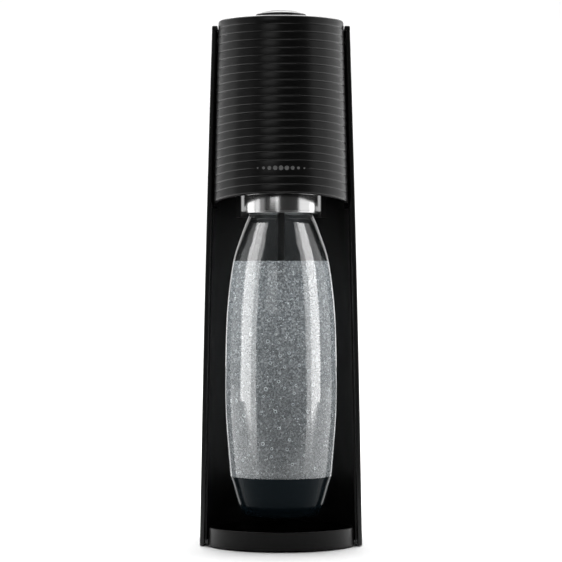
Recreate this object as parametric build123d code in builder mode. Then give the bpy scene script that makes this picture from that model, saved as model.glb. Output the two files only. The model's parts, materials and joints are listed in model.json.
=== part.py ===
from build123d import *
import os
from math import radians, tan

os.makedirs("parts", exist_ok=True)

# Manual soda carbonator. Millimetres, +Z up, front towards -Y.
# The origin is on the standing surface, under the middle of the machine.

# Casing: a D-shaped column that narrows upwards along a slight bow
front_y = -92.5
back_y = 92.5
base_half_width = 66.1
column_height = 420.0
lean = 6.8
bow = 3.2
casing_wall = 2.6
casing_bottom = 1.0
loft_levels = 4
rail_front = -45.0
rail_depth = 3.0
rail_width = 4.0
rail_edge_radius = 1.2
cover_split = 38.0
seam = 0.4

# Top plate
cap_bottom = 419.4
cap_top = 423.4
cap_edge_radius = 1.2

# Bulkhead between the bottle bay and the cylinder bay
bulkhead_front = 16.0
bulkhead_thickness = 3.0
bulkhead_top = 367.0

# Push latch in the rear cover
latch_height = 408.0
latch_radius = 6.0
latch_face_y = 92.2
latch_flange_back = 86.5
latch_flange_front = 84.0
latch_flange_radius = 7.5
latch_reach = 6.0
latch_seat_y = 90.0
latch_plane = Plane(origin=(0, latch_seat_y, latch_height), x_dir=(1, 0, 0), z_dir=(0, 1, 0))

# Base
plate_bottom = 2.0
plate_top = 5.0
foot_radius = 8.0
foot_places = [(-38, -58), (38, -58), (-44, 50), (44, 50)]
boss_radius = 4.5
boss_top = 25.0
boss_places = [(-59.4, 0), (59.4, 0), (-59.4, 30), (59.4, 30)]
screw_radius = 1.5
screw_head_radius = 3.0
screw_head_height = 1.6
screw_top = 17.0

# Bottle bay liner
liner_wall = 2.4
liner_edge_y = -42.0
liner_back = 12.0
liner_inset = 5.5
liner_side_top = 275.0
liner_back_top = 293.0
liner_step_y = -26.0

# Ribbed head
head_inset = 5.0
head_wall = 2.5
head_top = 427.0
head_back = 14.0
head_front_bottom = 285.5
head_slope = 0.137
head_side_end = -30.0
head_edge_radius = 2.0
groove_count = 21
groove_pitch = 6.385
top_groove = 420.4
groove_depth = 0.35
groove_half_width = 0.75

# Button on top of the head
button_y = -40.0
button_top = 436.2
button_dome_radius = 20.0
button_dome_drop = 3.4
button_side_drop = 4.4
button_ceiling = 431.2
button_radius = 20.6
button_skirt_bottom = 418.5
guide_radius = 21.2
guide_floor_bottom = 406.5
guide_floor_top = 409.0
stem_radius = 6.5
stem_tip_bottom = 405.4

# Gas lever and valve
lever_pivot = (67.0, 397.5)
lever_half_width = 5.0
lever_bottom = 399.0
lever_top = 405.0
lever_front = -45.0
pivot_pin_radius = 3.0
running_clearance = 0.05
cylinder_y = 50.0
valve_half_width = 17.0
valve_bottom = 371.0
valve_top = 392.0
valve_front = 34.0
valve_back = 70.0
valve_pin_radius = 2.5
chamber_radius = 9.4
chamber_top = 378.0

# Upper frame that carries the valve and the tilting head
shelf_bottom = 367.0
shelf_half_width = 37.0
shelf_front = 10.0
shelf_back = 56.0
frame_screw_places = [(-30, 17.5), (-15, 17.5), (15, 17.5), (30, 17.5)]
frame_screw_radius = 1.2
frame_screw_bottom = 355.0

# Lever that locks the gas cylinder
bail_pivot = (50.0, 381.0)
bail_rest_angle = -35.0
bail_thickness = 5.0
bail_pin_inner = 13.0
bail_inner = 17.5
bail_outer = 21.2

# Tilting carbonation head
bottle_y = -42.0
tilt_pivot = (-30.0, 325.0)
tilt_boss_radius = 7.0
block_radius = 22.0
block_bottom = 306.0
block_top = 345.0
tilt_bore_end = 23.0
arm_inner = 34.0
arm_outer = 37.0
trim_radius = 32.2
trim_wall = 0.8
trim_bottom = 270.8
trim_top = 300.0
cradle_wall = 2.4
cradle_roof_bottom = 303.5
collar_radius = 36.8
collar_wall = 4.0
collar_bottom = 267.7
nozzle_collar_radius = 5.0

# Bottle
bottle_bottom = 25.0
bottle_mouth = 302.0
bottle_wall = 1.8
belly_radius = 45.5
belly_height = 127.0
neck_radius = 16.0
neck_bore = 12.5
neck_bottom = 284.0
ring_radius = 19.0
ring_bottom = 288.0
ring_top = 291.0
cap_rim = 57.5
rim_radius = 41.4
body_side = [
    (43.5, 83),
    (belly_radius, belly_height),
    (43.9, 190),
    (39.2, 229.5),
    (32.6, 252),
    (24.5, 272),
]
cap_side = [
    (28, bottle_bottom),
    (31.3, bottle_bottom + 2.6),
    (35, bottle_bottom + 10),
    (39, bottle_bottom + 24.6),
    (rim_radius, cap_rim),
]
heel_outline = [(0, 28.5), (25, 28.5), (32, 33), (38.9, cap_rim)]

# Drip tray
tray_front_radius = 61.2
tray_back_radius = 59.6
tray_back = 10.6
tray_rim = 16.0
tray_underside = 5.4
tray_wall = 3.0
tray_floor = 2.6
tray_rim_radius = 0.6
skirt_wall = 2.6
skirt_bottom = 1.2
skirt_end_y = -46.0

# Gas cylinder
cylinder_radius = 30.0
cylinder_bottom = 12.0
cylinder_neck_radius = 12.0
cylinder_neck = 332.0
valve_body_radius = 15.0
valve_body_bottom = 340.0
valve_body_top = 362.0
nipple_radius = 7.0
nipple_top = 374.0
cylinder_wall = 4.0
cylinder_shoulder = 288.0

# Gas feed from the valve to the head's pivot
fitting_size = (8, 10, 14)
feed_x = -42.0


def half_width(z):
    """Half the casing's width at height z."""
    t = z / column_height
    return base_half_width - lean * t - bow * t * t


def levels(low, high):
    """Evenly spaced section heights for a loft."""
    return [low + (high - low) * i / (loft_levels - 1) for i in range(loft_levels)]


def column(low, high, inset=0.0):
    """The casing's D-shaped column between two heights, moved in by inset."""
    with BuildPart() as body:
        for z in levels(low, high):
            side = half_width(z) - inset
            back = back_y - inset
            with BuildSketch(Plane.XY.offset(z)):
                with BuildLine():
                    Line((-side, rail_front), (side, rail_front))
                    Line((side, rail_front), (side, back - side))
                    ThreePointArc((side, back - side), (0, back), (-side, back - side))
                    Line((-side, back - side), (-side, rail_front))
                make_face()
        loft()
    return body.part


def head_column(low, high, inset=0.0):
    """The head's column, round at the front, moved in by inset."""
    with BuildPart() as body:
        for z in levels(low, high):
            side = half_width(z) - head_inset - inset
            nose = front_y + inset
            tail = head_back - inset
            with BuildSketch(Plane.XY.offset(z)):
                with BuildLine():
                    Line((side, tail), (side, nose + side))
                    ThreePointArc((side, nose + side), (0, nose), (-side, nose + side))
                    Line((-side, nose + side), (-side, tail))
                    Line((-side, tail), (side, tail))
                make_face()
        loft()
    return body.part


def bay_column(low, high, wall):
    """The bottle bay's half-round column, grown outwards by wall."""
    with BuildPart() as body:
        for z in levels(low, high):
            side = half_width(z) - liner_inset + wall
            back = liner_back + wall
            with BuildSketch(Plane.XY.offset(z)):
                with BuildLine():
                    Line((-side, liner_edge_y), (side, liner_edge_y))
                    ThreePointArc((side, liner_edge_y), (0, back), (-side, liner_edge_y))
                make_face()
        loft()
    return body.part


def between(solid, y_low, y_high):
    """The stretch of a solid between two depths."""
    reach = 2 * column_height
    with BuildPart() as stretch:
        add(solid)
        with BuildSketch(Plane.XY.offset(-column_height)):
            with Locations((0, (y_low + y_high) / 2)):
                Rectangle(reach, y_high - y_low)
        extrude(amount=2 * reach, mode=Mode.INTERSECT)
    return stretch.part


def lathe(points, y=bottle_y):
    """A solid turned about the vertical line through (0, y) from (radius, height) points."""
    with BuildPart() as turned:
        with BuildSketch(Plane(origin=(0, y, 0), x_dir=(1, 0, 0), z_dir=(0, -1, 0))):
            with BuildLine():
                Polyline(*points, close=True)
            make_face()
        revolve(axis=Axis((0, y, 0), (0, 0, 1)))
    return turned.part


def cross_rod(radius, x_low, x_high, y, z):
    """A round rod along X."""
    with BuildPart() as rod:
        with BuildSketch(Plane(origin=(x_low, y, z), x_dir=(0, 1, 0), z_dir=(1, 0, 0))):
            Circle(radius)
        extrude(amount=x_high - x_low)
    return rod.part


def save(builder, name):
    """Label a finished piece and write it."""
    builder.part.label = name
    export_step(builder.part, f"parts/{name}.step")


# ---- casing ----

def make_main_housing():
    walls = column(casing_bottom, cap_bottom - seam)
    hollow = column(casing_bottom - seam, cap_bottom, casing_wall)
    rail_hollow = column(casing_bottom - seam, cap_bottom, rail_width)
    web = column(plate_top, bulkhead_top, casing_wall / 2)
    with BuildPart() as rails:
        add(between(walls, rail_front, rail_front + rail_depth))
        add(rail_hollow, mode=Mode.SUBTRACT)
    with BuildPart() as main_housing:
        add(between(walls, rail_front, cover_split))
        add(hollow, mode=Mode.SUBTRACT)
        add(rails.part)
        add(between(web, bulkhead_front, bulkhead_front + bulkhead_thickness))
        with BuildSketch(Plane.XY.offset(plate_top)):
            with Locations(*boss_places):
                Circle(boss_radius)
        extrude(amount=boss_top - plate_top)
        with BuildSketch(Plane.XY.offset(plate_top)):
            with Locations(*boss_places):
                Circle(screw_radius)
        extrude(amount=screw_top - plate_top, mode=Mode.SUBTRACT)
        with BuildSketch(Plane.XY.offset(frame_screw_bottom)):
            with Locations(*frame_screw_places):
                Circle(frame_screw_radius)
        extrude(amount=bulkhead_top - frame_screw_bottom, mode=Mode.SUBTRACT)
        front_edges = main_housing.edges().group_by(Axis.Y)[0]
        long_edges = [e for e in front_edges if e.length > column_height / 2]
        fillet(long_edges, rail_edge_radius)
    save(main_housing, "main_housing")


def make_rear_cover():
    walls = column(casing_bottom, cap_bottom - seam)
    hollow = column(casing_bottom - seam, cap_bottom, casing_wall)
    with BuildPart() as rear_cover:
        add(between(walls, cover_split + seam, back_y + casing_wall))
        add(hollow, mode=Mode.SUBTRACT)
        with BuildSketch(latch_plane):
            Circle(latch_radius + seam)
        extrude(amount=latch_reach, both=True, mode=Mode.SUBTRACT)
    save(rear_cover, "rear_cover")


def make_cover_latch():
    flange_plane = latch_plane.offset(latch_flange_front - latch_seat_y)
    with BuildPart() as cover_latch:
        with BuildSketch(flange_plane):
            Circle(latch_flange_radius)
        extrude(amount=latch_flange_back - latch_flange_front)
        with BuildSketch(flange_plane):
            Circle(latch_radius)
        extrude(amount=latch_face_y - latch_flange_front)
        fillet(cover_latch.edges().group_by(Axis.Y)[-1], cap_edge_radius)
    save(cover_latch, "cover_latch")


def make_top_cap():
    notch = half_width(cap_top) - head_inset + 2 * seam
    with BuildPart() as top_cap:
        add(column(cap_bottom, cap_top))
        top_rim = top_cap.edges().group_by(Axis.Z)[-1]
        fillet(top_rim, cap_edge_radius)
        with BuildSketch(Plane.XY.offset(cap_bottom)):
            with Locations((0, (rail_front * 2 + head_back) / 2 + seam)):
                Rectangle(2 * notch, head_back - 2 * rail_front + seam)
        extrude(amount=cap_top - cap_bottom, mode=Mode.SUBTRACT)
    save(top_cap, "top_cap")


def make_base_plate():
    side = half_width(plate_bottom) - casing_wall - seam
    back = back_y - casing_wall - seam
    nose_radius = tray_front_radius - skirt_wall - 4 * seam
    with BuildPart() as base_plate:
        with BuildSketch(Plane.XY.offset(plate_bottom)):
            with BuildLine():
                Line((-side, liner_edge_y), (side, liner_edge_y))
                Line((side, liner_edge_y), (side, back - side))
                ThreePointArc((side, back - side), (0, back), (-side, back - side))
                Line((-side, back - side), (-side, liner_edge_y))
            make_face()
            with Locations((0, front_y + tray_front_radius)):
                Circle(nose_radius)
        extrude(amount=plate_top - plate_bottom)
        with Locations(*[(x, y, plate_bottom) for x, y in boss_places]):
            Hole(screw_radius, depth=2 * plate_top)
        with BuildSketch(Plane.XY.offset(plate_bottom)):
            with Locations(*boss_places):
                Circle(screw_head_radius)
        extrude(amount=screw_head_height, mode=Mode.SUBTRACT)
    save(base_plate, "base_plate")


def make_base_screws():
    with BuildPart() as base_screws:
        with BuildSketch(Plane.XY.offset(plate_bottom)):
            with Locations(*boss_places):
                Circle(screw_head_radius)
        extrude(amount=screw_head_height)
        with BuildSketch(Plane.XY.offset(plate_bottom)):
            with Locations(*boss_places):
                Circle(screw_radius)
        extrude(amount=screw_top - plate_bottom)
    save(base_screws, "base_screws")


def make_rubber_feet():
    with BuildPart() as rubber_feet:
        with BuildSketch():
            with Locations(*foot_places):
                Circle(foot_radius)
        extrude(amount=plate_bottom)
        chamfer(rubber_feet.edges().group_by(Axis.Z)[0], plate_bottom / 4)
    save(rubber_feet, "rubber_feet")


def make_recess_liner():
    with BuildPart() as recess_liner:
        add(bay_column(plate_top, liner_back_top, liner_wall))
        add(bay_column(plate_top - seam, liner_back_top + seam, 0), mode=Mode.SUBTRACT)
        with BuildSketch(Plane.XY.offset(liner_side_top)):
            with Locations((0, liner_step_y - column_height / 2)):
                Rectangle(column_height, column_height)
        extrude(amount=column_height, mode=Mode.SUBTRACT)
    save(recess_liner, "recess_liner")


# ---- head ----

def tilted_plane(front_height, slope):
    """A plane through the front of the head that drops towards the back."""
    return Plane(origin=(0, front_y, front_height), x_dir=(1, 0, 0), z_dir=(0, slope, 1))


def groove_path(plane, side, length):
    """A U-shaped line round the front of the head in its own plane."""
    with BuildLine(plane) as path:
        Line((side, length), (side, side))
        ThreePointArc((side, side), (0, 0), (-side, side))
        Line((-side, side), (-side, length))
    return path.line


def make_head_shell():
    outer = head_column(head_front_bottom - 4 * groove_pitch, head_top)
    inner = head_column(head_front_bottom - 5 * groove_pitch, head_top - head_wall, head_wall)
    groove_length = head_back - front_y
    with BuildPart() as head_shell:
        add(outer)
        fillet(head_shell.edges().group_by(Axis.Z)[-1], head_edge_radius)
        add(inner, mode=Mode.SUBTRACT)
        with BuildSketch(tilted_plane(head_front_bottom, head_slope)):
            Rectangle(2 * column_height, 2 * column_height)
        extrude(amount=-column_height, mode=Mode.SUBTRACT)
        with BuildSketch(Plane.XY):
            with Locations((0, head_side_end + column_height / 2)):
                Rectangle(column_height, column_height)
        extrude(amount=cap_bottom, mode=Mode.SUBTRACT)
        with BuildSketch(Plane.XY.offset(head_top - 2 * head_wall)):
            with Locations((0, button_y)):
                Circle(guide_radius)
        extrude(amount=3 * head_wall, mode=Mode.SUBTRACT)
        for i in range(groove_count):
            slope = head_slope * i / groove_count
            height = top_groove - groove_pitch * i
            side_height = height - slope * half_width(height)
            side = half_width(side_height) - head_inset
            path = groove_path(tilted_plane(height, slope), side, groove_length)
            lip = groove_depth / 2
            spread = groove_half_width * (1 + lip / groove_depth)
            start = Plane(origin=path @ 0, x_dir=(1, 0, 0), z_dir=path % 0)
            with BuildSketch(start):
                with BuildLine():
                    Polyline((-groove_depth, 0), (lip, spread), (lip, -spread), close=True)
                make_face()
            sweep(path=path, mode=Mode.SUBTRACT)
    save(head_shell, "head_shell")


def make_button_guide():
    outer = guide_radius + casing_wall
    roof = head_top - head_wall
    with BuildPart() as button_guide:
        add(lathe([
            (stem_radius + 2 * seam, guide_floor_bottom),
            (outer, guide_floor_bottom),
            (outer, roof),
            (guide_radius, roof),
            (guide_radius, guide_floor_top),
            (stem_radius + 2 * seam, guide_floor_top),
        ], button_y))
    save(button_guide, "button_guide")


# ---- button, lever and gas valve ----

def make_button_cap():
    skin = 2.2
    tip_radius = 2.5
    tip_top = stem_tip_bottom + casing_wall
    dome_end = (button_dome_radius, button_top - button_dome_drop)
    dome_middle = (button_dome_radius / 2, button_top - button_dome_drop / 4)
    with BuildPart() as button_cap:
        with BuildSketch(Plane(origin=(0, button_y, 0), x_dir=(1, 0, 0), z_dir=(0, -1, 0))):
            with BuildLine():
                ThreePointArc((0, button_top), dome_middle, dome_end)
                Polyline(
                    dome_end,
                    (button_radius, button_top - button_side_drop),
                    (button_radius, button_skirt_bottom),
                    (button_radius - skin, button_skirt_bottom),
                    (button_radius - skin, button_ceiling),
                    (stem_radius, button_ceiling),
                    (stem_radius, tip_top),
                    (tip_radius, tip_top),
                    (tip_radius, stem_tip_bottom),
                    (0, stem_tip_bottom),
                    (0, button_top),
                )
            make_face()
        revolve(axis=Axis((0, button_y, 0), (0, 0, 1)))
    save(button_cap, "button_cap")


def make_button_spring():
    wire = 0.7
    coil_radius = 12.0
    turns = 5
    low = guide_floor_top + wire
    high = button_ceiling - wire
    start = Plane(origin=(coil_radius, button_y, low), x_dir=(1, 0, 0), z_dir=(0, 1, 0))
    with BuildPart() as button_spring:
        with BuildLine(Plane.XY.offset(low).move(Location((0, button_y, 0)))):
            coil = Helix(pitch=(high - low) / turns, height=high - low, radius=coil_radius)
        with BuildSketch(start):
            Circle(wire)
        sweep(path=coil, is_frenet=True)
    save(button_spring, "button_spring")


def make_gas_lever():
    hub_radius = lever_top - lever_pivot[1] - 2
    nose_radius = lever_half_width - 1
    with BuildPart() as gas_lever:
        with BuildSketch(Plane.YZ):
            with BuildLine():
                Polyline(
                    (lever_front, lever_top),
                    (lever_pivot[0], lever_top),
                    (lever_pivot[0], lever_bottom),
                    (lever_front, lever_bottom),
                    close=True,
                )
            make_face()
            with Locations(lever_pivot):
                Circle(hub_radius)
                Circle(pivot_pin_radius + running_clearance, mode=Mode.SUBTRACT)
        extrude(amount=lever_half_width, both=True)
        front_edges = gas_lever.edges().group_by(Axis.Y)[0].filter_by(Axis.Z)
        fillet(front_edges, nose_radius)
    save(gas_lever, "gas_lever")


def make_lever_pin():
    overhang = 4.2
    reach = lever_half_width + overhang
    with BuildPart() as lever_pin:
        add(cross_rod(pivot_pin_radius, -reach, reach, *lever_pivot))
    save(lever_pin, "lever_pin")


def make_valve_block():
    depth = valve_back - valve_front
    lug_inner = lever_half_width + seam
    lug_outer = lug_inner + 3.2
    lug_radius = 5.2
    corner = 3.0
    with BuildPart() as valve_block:
        with BuildSketch(Plane.XY.offset(valve_bottom)):
            with Locations((0, (valve_front + valve_back) / 2)):
                RectangleRounded(2 * valve_half_width, depth, corner)
        extrude(amount=valve_top - valve_bottom)
        with BuildSketch(Plane.YZ):
            with Locations(lever_pivot):
                Circle(lug_radius)
            with Locations((lever_pivot[0] - 1, valve_top)):
                Rectangle(2 * lug_radius - 2, lug_radius)
        extrude(amount=lug_outer, both=True)
        with BuildSketch(Plane.YZ):
            with Locations((lever_pivot[0], lever_top)):
                Rectangle(8 * lug_radius, 2 * (lever_top - valve_top))
        extrude(amount=lug_inner, both=True, mode=Mode.SUBTRACT)
        add(cross_rod(pivot_pin_radius, -lug_outer, lug_outer, *lever_pivot), mode=Mode.SUBTRACT)
        with BuildSketch(Plane.XY.offset(valve_bottom)):
            with Locations((0, cylinder_y)):
                Circle(chamber_radius)
        extrude(amount=chamber_top - valve_bottom, mode=Mode.SUBTRACT)
        with BuildSketch(Plane.XY.offset(valve_bottom)):
            with Locations((0, cylinder_y)):
                Circle(valve_pin_radius + running_clearance)
        extrude(amount=2 * valve_top, mode=Mode.SUBTRACT)
        for side in (-1, 1):
            ends = sorted((side * bail_pin_inner, side * valve_half_width))
            add(cross_rod(pivot_pin_radius, *ends, *bail_pivot), mode=Mode.SUBTRACT)
    save(valve_block, "valve_block")


def make_cylinder_seal():
    bottom = nipple_top + seam
    with BuildPart() as cylinder_seal:
        add(lathe([
            (valve_pin_radius + 2 * seam, bottom),
            (chamber_radius, bottom),
            (chamber_radius, chamber_top),
            (valve_pin_radius + 2 * seam, chamber_top),
        ], cylinder_y))
    save(cylinder_seal, "cylinder_seal")


def make_valve_pin():
    head = 4.0
    bottom = nipple_top + 2
    top = lever_bottom - seam
    with BuildPart() as valve_pin:
        add(lathe([
            (0, bottom),
            (valve_pin_radius, bottom),
            (valve_pin_radius, top - casing_wall),
            (head, top - casing_wall),
            (head, top),
            (0, top),
        ], cylinder_y))
    save(valve_pin, "valve_pin")


def make_upper_frame():
    notch = 12.0
    arm_front = tilt_pivot[0] - 8
    arm_back = bulkhead_front - seam
    arm_foot = tilt_pivot[1] - 10
    foot_length = 16.0
    brow = tilt_pivot[1] + 12
    brow_length = 18.0
    web_rise = 30.0
    with BuildPart() as upper_frame:
        with BuildSketch(Plane.XY.offset(shelf_bottom)):
            with Locations((0, (shelf_front + shelf_back) / 2)):
                Rectangle(2 * shelf_half_width, shelf_back - shelf_front)
            with Locations((0, cylinder_y)):
                Circle(notch, mode=Mode.SUBTRACT)
            with Locations((0, cylinder_y + notch)):
                Rectangle(2 * notch, 2 * notch, mode=Mode.SUBTRACT)
        extrude(amount=valve_bottom - shelf_bottom)
        for side in (-1, 1):
            arm_plane = Plane.YZ.offset(side * arm_inner)
            with BuildSketch(arm_plane):
                with BuildLine():
                    Polyline(
                        (arm_front, arm_foot),
                        (arm_front + foot_length, arm_foot),
                        (arm_back, arm_foot + web_rise),
                        (arm_back, valve_bottom),
                        (arm_front + brow_length, valve_bottom),
                        (arm_front, brow),
                        close=True,
                    )
                make_face()
            extrude(amount=side * (arm_outer - arm_inner))
        add(cross_rod(pivot_pin_radius, -arm_outer, arm_outer, *tilt_pivot), mode=Mode.SUBTRACT)
        with BuildSketch(Plane.XY.offset(shelf_bottom)):
            with Locations(*frame_screw_places):
                Circle(frame_screw_radius)
        extrude(amount=valve_bottom - shelf_bottom, mode=Mode.SUBTRACT)
    save(upper_frame, "upper_frame")


def make_frame_screws():
    head_height = 1.8
    with BuildPart() as frame_screws:
        with BuildSketch(Plane.XY.offset(frame_screw_bottom)):
            with Locations(*frame_screw_places):
                Circle(frame_screw_radius)
        extrude(amount=valve_bottom - frame_screw_bottom)
        with BuildSketch(Plane.XY.offset(valve_bottom)):
            with Locations(*frame_screw_places):
                Circle(2 * frame_screw_radius)
        extrude(amount=head_height)
    save(frame_screws, "frame_screws")


# ---- cylinder lock ----

def make_bail_pins():
    with BuildPart() as bail_pins:
        for side in (-1, 1):
            ends = sorted((side * bail_pin_inner, side * (bail_outer + 1)))
            add(cross_rod(pivot_pin_radius, *ends, *bail_pivot))
    save(bail_pins, "bail_pins")


def make_cylinder_lever():
    arm_end = 26.0
    bar_inner = 31.5
    bar_outer = 37.3
    bar_half = 13.0
    boss_radius = 5.0
    bevel = 2.0
    flat = Plane(origin=(0, *bail_pivot), x_dir=(1, 0, 0), z_dir=(0, 0, 1))
    leaf = flat.rotated((bail_rest_angle, 0, 0))
    with BuildPart() as cylinder_lever:
        with BuildSketch(leaf):
            with BuildLine():
                Polyline(
                    (-bail_outer, -boss_radius),
                    (-bail_outer, arm_end),
                    (-bar_half, bar_outer),
                    (bar_half, bar_outer),
                    (bail_outer, arm_end),
                    (bail_outer, -boss_radius),
                    (bail_inner, -boss_radius),
                    (bail_inner, arm_end),
                    (bar_half - bevel, bar_inner),
                    (bevel - bar_half, bar_inner),
                    (-bail_inner, arm_end),
                    (-bail_inner, -boss_radius),
                    close=True,
                )
            make_face()
        extrude(amount=bail_thickness / 2, both=True)
        for side in (-1, 1):
            ends = sorted((side * bail_inner, side * bail_outer))
            add(cross_rod(boss_radius, *ends, *bail_pivot))
            bore = pivot_pin_radius + running_clearance
            add(cross_rod(bore, *ends, *bail_pivot), mode=Mode.SUBTRACT)
    save(cylinder_lever, "cylinder_lever")


def cylinder_form(shrink):
    """The gas cylinder's turned form below its valve, moved in by shrink."""
    heel = 6.0
    shoulder_reach = 8.0
    shoulder_rise = 24.0
    side = cylinder_radius - shrink
    foot = cylinder_bottom + shrink
    neck = (cylinder_neck_radius - shrink, cylinder_neck)
    rounding = heel * (1 - 0.5**0.5)
    with BuildPart() as form:
        with BuildSketch(Plane(origin=(0, cylinder_y, 0), x_dir=(1, 0, 0), z_dir=(0, -1, 0))):
            with BuildLine():
                Line((0, foot), (side - heel, foot))
                middle = (side - rounding, foot + rounding)
                ThreePointArc((side - heel, foot), middle, (side, foot + heel))
                Line((side, foot + heel), (side, cylinder_shoulder))
                bend = (side - shoulder_reach, cylinder_shoulder + shoulder_rise)
                Spline((side, cylinder_shoulder), bend, neck, tangents=[(0, 1), (-1, 1)])
                Polyline(neck, (0, cylinder_neck), (0, foot))
            make_face()
        revolve(axis=Axis((0, cylinder_y, 0), (0, 0, 1)))
    return form.part


def make_gas_cylinder():
    with BuildPart() as gas_cylinder:
        add(cylinder_form(0))
        add(cylinder_form(cylinder_wall), mode=Mode.SUBTRACT)
    save(gas_cylinder, "gas_cylinder")


def make_cylinder_valve():
    bevel = 2.0
    with BuildPart() as cylinder_valve:
        add(lathe([
            (0, cylinder_neck),
            (cylinder_neck_radius, cylinder_neck),
            (cylinder_neck_radius, valve_body_bottom),
            (valve_body_radius, valve_body_bottom),
            (valve_body_radius, valve_body_top - bevel),
            (valve_body_radius - bevel, valve_body_top),
            (nipple_radius, valve_body_top),
            (nipple_radius, nipple_top - bevel / 2),
            (nipple_radius - bevel / 2, nipple_top),
            (0, nipple_top),
        ], cylinder_y))
    save(cylinder_valve, "cylinder_valve")


def make_lift_yoke():
    slot = cylinder_neck_radius + seam
    bottom = valve_body_bottom - 5
    width, depth, corner = 56.0, 34.0, 5.0
    with BuildPart() as lift_yoke:
        with BuildSketch(Plane.XY.offset(bottom)):
            with Locations((0, cylinder_y - 2)):
                RectangleRounded(width, depth, corner)
            with Locations((0, cylinder_y)):
                Circle(slot, mode=Mode.SUBTRACT)
            with Locations((0, cylinder_y + slot)):
                Rectangle(2 * slot, 2 * slot, mode=Mode.SUBTRACT)
        extrude(amount=valve_body_bottom - bottom)
    save(lift_yoke, "lift_yoke")


def make_cylinder_seat():
    inner = cylinder_radius + 4 * seam
    web_back = bulkhead_front + bulkhead_thickness + seam
    with BuildPart() as cylinder_seat:
        with BuildSketch(Plane.XY.offset(plate_top)):
            with Locations((0, cylinder_y)):
                Circle(inner + casing_wall)
                Circle(inner, mode=Mode.SUBTRACT)
            with Locations((0, web_back - inner)):
                Rectangle(4 * inner, 2 * inner, mode=Mode.SUBTRACT)
        extrude(amount=cylinder_bottom - plate_top)
    save(cylinder_seat, "cylinder_seat")


# ---- tilting carbonation head ----

def make_tilt_pins():
    with BuildPart() as tilt_pins:
        for side in (-1, 1):
            ends = sorted((side * (tilt_bore_end + 1), side * (arm_outer + 1)))
            add(cross_rod(pivot_pin_radius, *ends, *tilt_pivot))
    save(tilt_pins, "tilt_pins")


def make_nozzle_block():
    boss_end = arm_inner - 1.5 * seam
    with BuildPart() as nozzle_block:
        with BuildSketch(Plane.XY.offset(block_bottom)):
            with Locations((0, bottle_y)):
                Circle(block_radius)
        extrude(amount=block_top - block_bottom)
        fillet(nozzle_block.edges().group_by(Axis.Z)[-1], head_edge_radius)
        add(cross_rod(tilt_boss_radius, -boss_end, boss_end, *tilt_pivot))
        bore = pivot_pin_radius + running_clearance
        for side in (-1, 1):
            ends = sorted((side * tilt_bore_end, side * boss_end))
            add(cross_rod(bore, *ends, *tilt_pivot), mode=Mode.SUBTRACT)
    save(nozzle_block, "nozzle_block")


def make_relief_valve():
    base = 6.0
    stub = 4.0
    with BuildPart() as relief_valve:
        with BuildSketch(Plane.XY.offset(block_top)):
            with Locations((0, bottle_y)):
                RegularPolygon(base, 6)
        extrude(amount=base)
        with BuildSketch(Plane.XY.offset(block_top + base)):
            with Locations((0, bottle_y)):
                Circle(stub)
        extrude(amount=2 * stub)
    save(relief_valve, "relief_valve")


def make_nozzle():
    bore = 1.2
    tip = 212.0
    tip_radius = 2.2
    tube_radius = 3.0
    tube_top = 270.0
    root_radius = 4.2
    root_top = 280.0
    with BuildPart() as nozzle:
        add(lathe([
            (bore, block_bottom),
            (nozzle_collar_radius, block_bottom),
            (root_radius, root_top),
            (tube_radius, tube_top),
            (tube_radius, tip + tip_radius),
            (tip_radius, tip),
            (bore, tip),
        ]))
    save(nozzle, "nozzle")


def make_nozzle_seal():
    bottom = bottle_mouth + seam
    seal_bore = nozzle_collar_radius + seam / 2
    with BuildPart() as nozzle_seal:
        add(lathe([
            (seal_bore, bottom),
            (neck_radius - seam, bottom),
            (neck_radius - seam, block_bottom),
            (seal_bore, block_bottom),
        ]))
    save(nozzle_seal, "nozzle_seal")


def make_bottle_cradle():
    outer = trim_radius - trim_wall
    bottom = trim_bottom + 2
    neck_hole = neck_radius + 1.5
    with BuildPart() as bottle_cradle:
        add(lathe([
            (outer - cradle_wall, bottom),
            (outer, bottom),
            (outer, cradle_roof_bottom),
            (outer - cradle_wall, cradle_roof_bottom),
        ]))
        with BuildSketch(Plane.XY.offset(cradle_roof_bottom)):
            with Locations((0, bottle_y)):
                Circle(collar_radius)
            with Locations((0, bottle_y - collar_radius)):
                Rectangle(2 * collar_radius, 2 * collar_radius, mode=Mode.SUBTRACT)
            with Locations((0, bottle_y)):
                Circle(outer)
                Circle(neck_hole, mode=Mode.SUBTRACT)
        extrude(amount=block_bottom - cradle_roof_bottom)
    save(bottle_cradle, "bottle_cradle")


def make_trim_band():
    lip = 0.3
    inner = trim_radius - trim_wall
    with BuildPart() as trim_band:
        add(lathe([
            (inner, trim_bottom),
            (trim_radius - lip, trim_bottom),
            (trim_radius, trim_bottom + lip),
            (trim_radius, trim_top),
            (inner, trim_top),
        ]))
    save(trim_band, "trim_band")


def make_rear_collar():
    with BuildPart() as rear_collar:
        with BuildSketch(Plane.XY.offset(collar_bottom)):
            with Locations((0, bottle_y)):
                Circle(collar_radius)
                Circle(collar_radius - collar_wall, mode=Mode.SUBTRACT)
            with Locations((0, bottle_y - collar_radius)):
                Rectangle(3 * collar_radius, 2 * collar_radius, mode=Mode.SUBTRACT)
        extrude(amount=cradle_roof_bottom - collar_bottom)
    save(rear_collar, "rear_collar")


# ---- gas feed ----

def make_gas_fitting():
    corner = 2.0
    with BuildPart() as gas_fitting:
        with Locations((feed_x, *tilt_pivot)):
            Box(*fitting_size)
        fillet(gas_fitting.edges().filter_by(Axis.Z), corner)
    save(gas_fitting, "gas_fitting")


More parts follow.
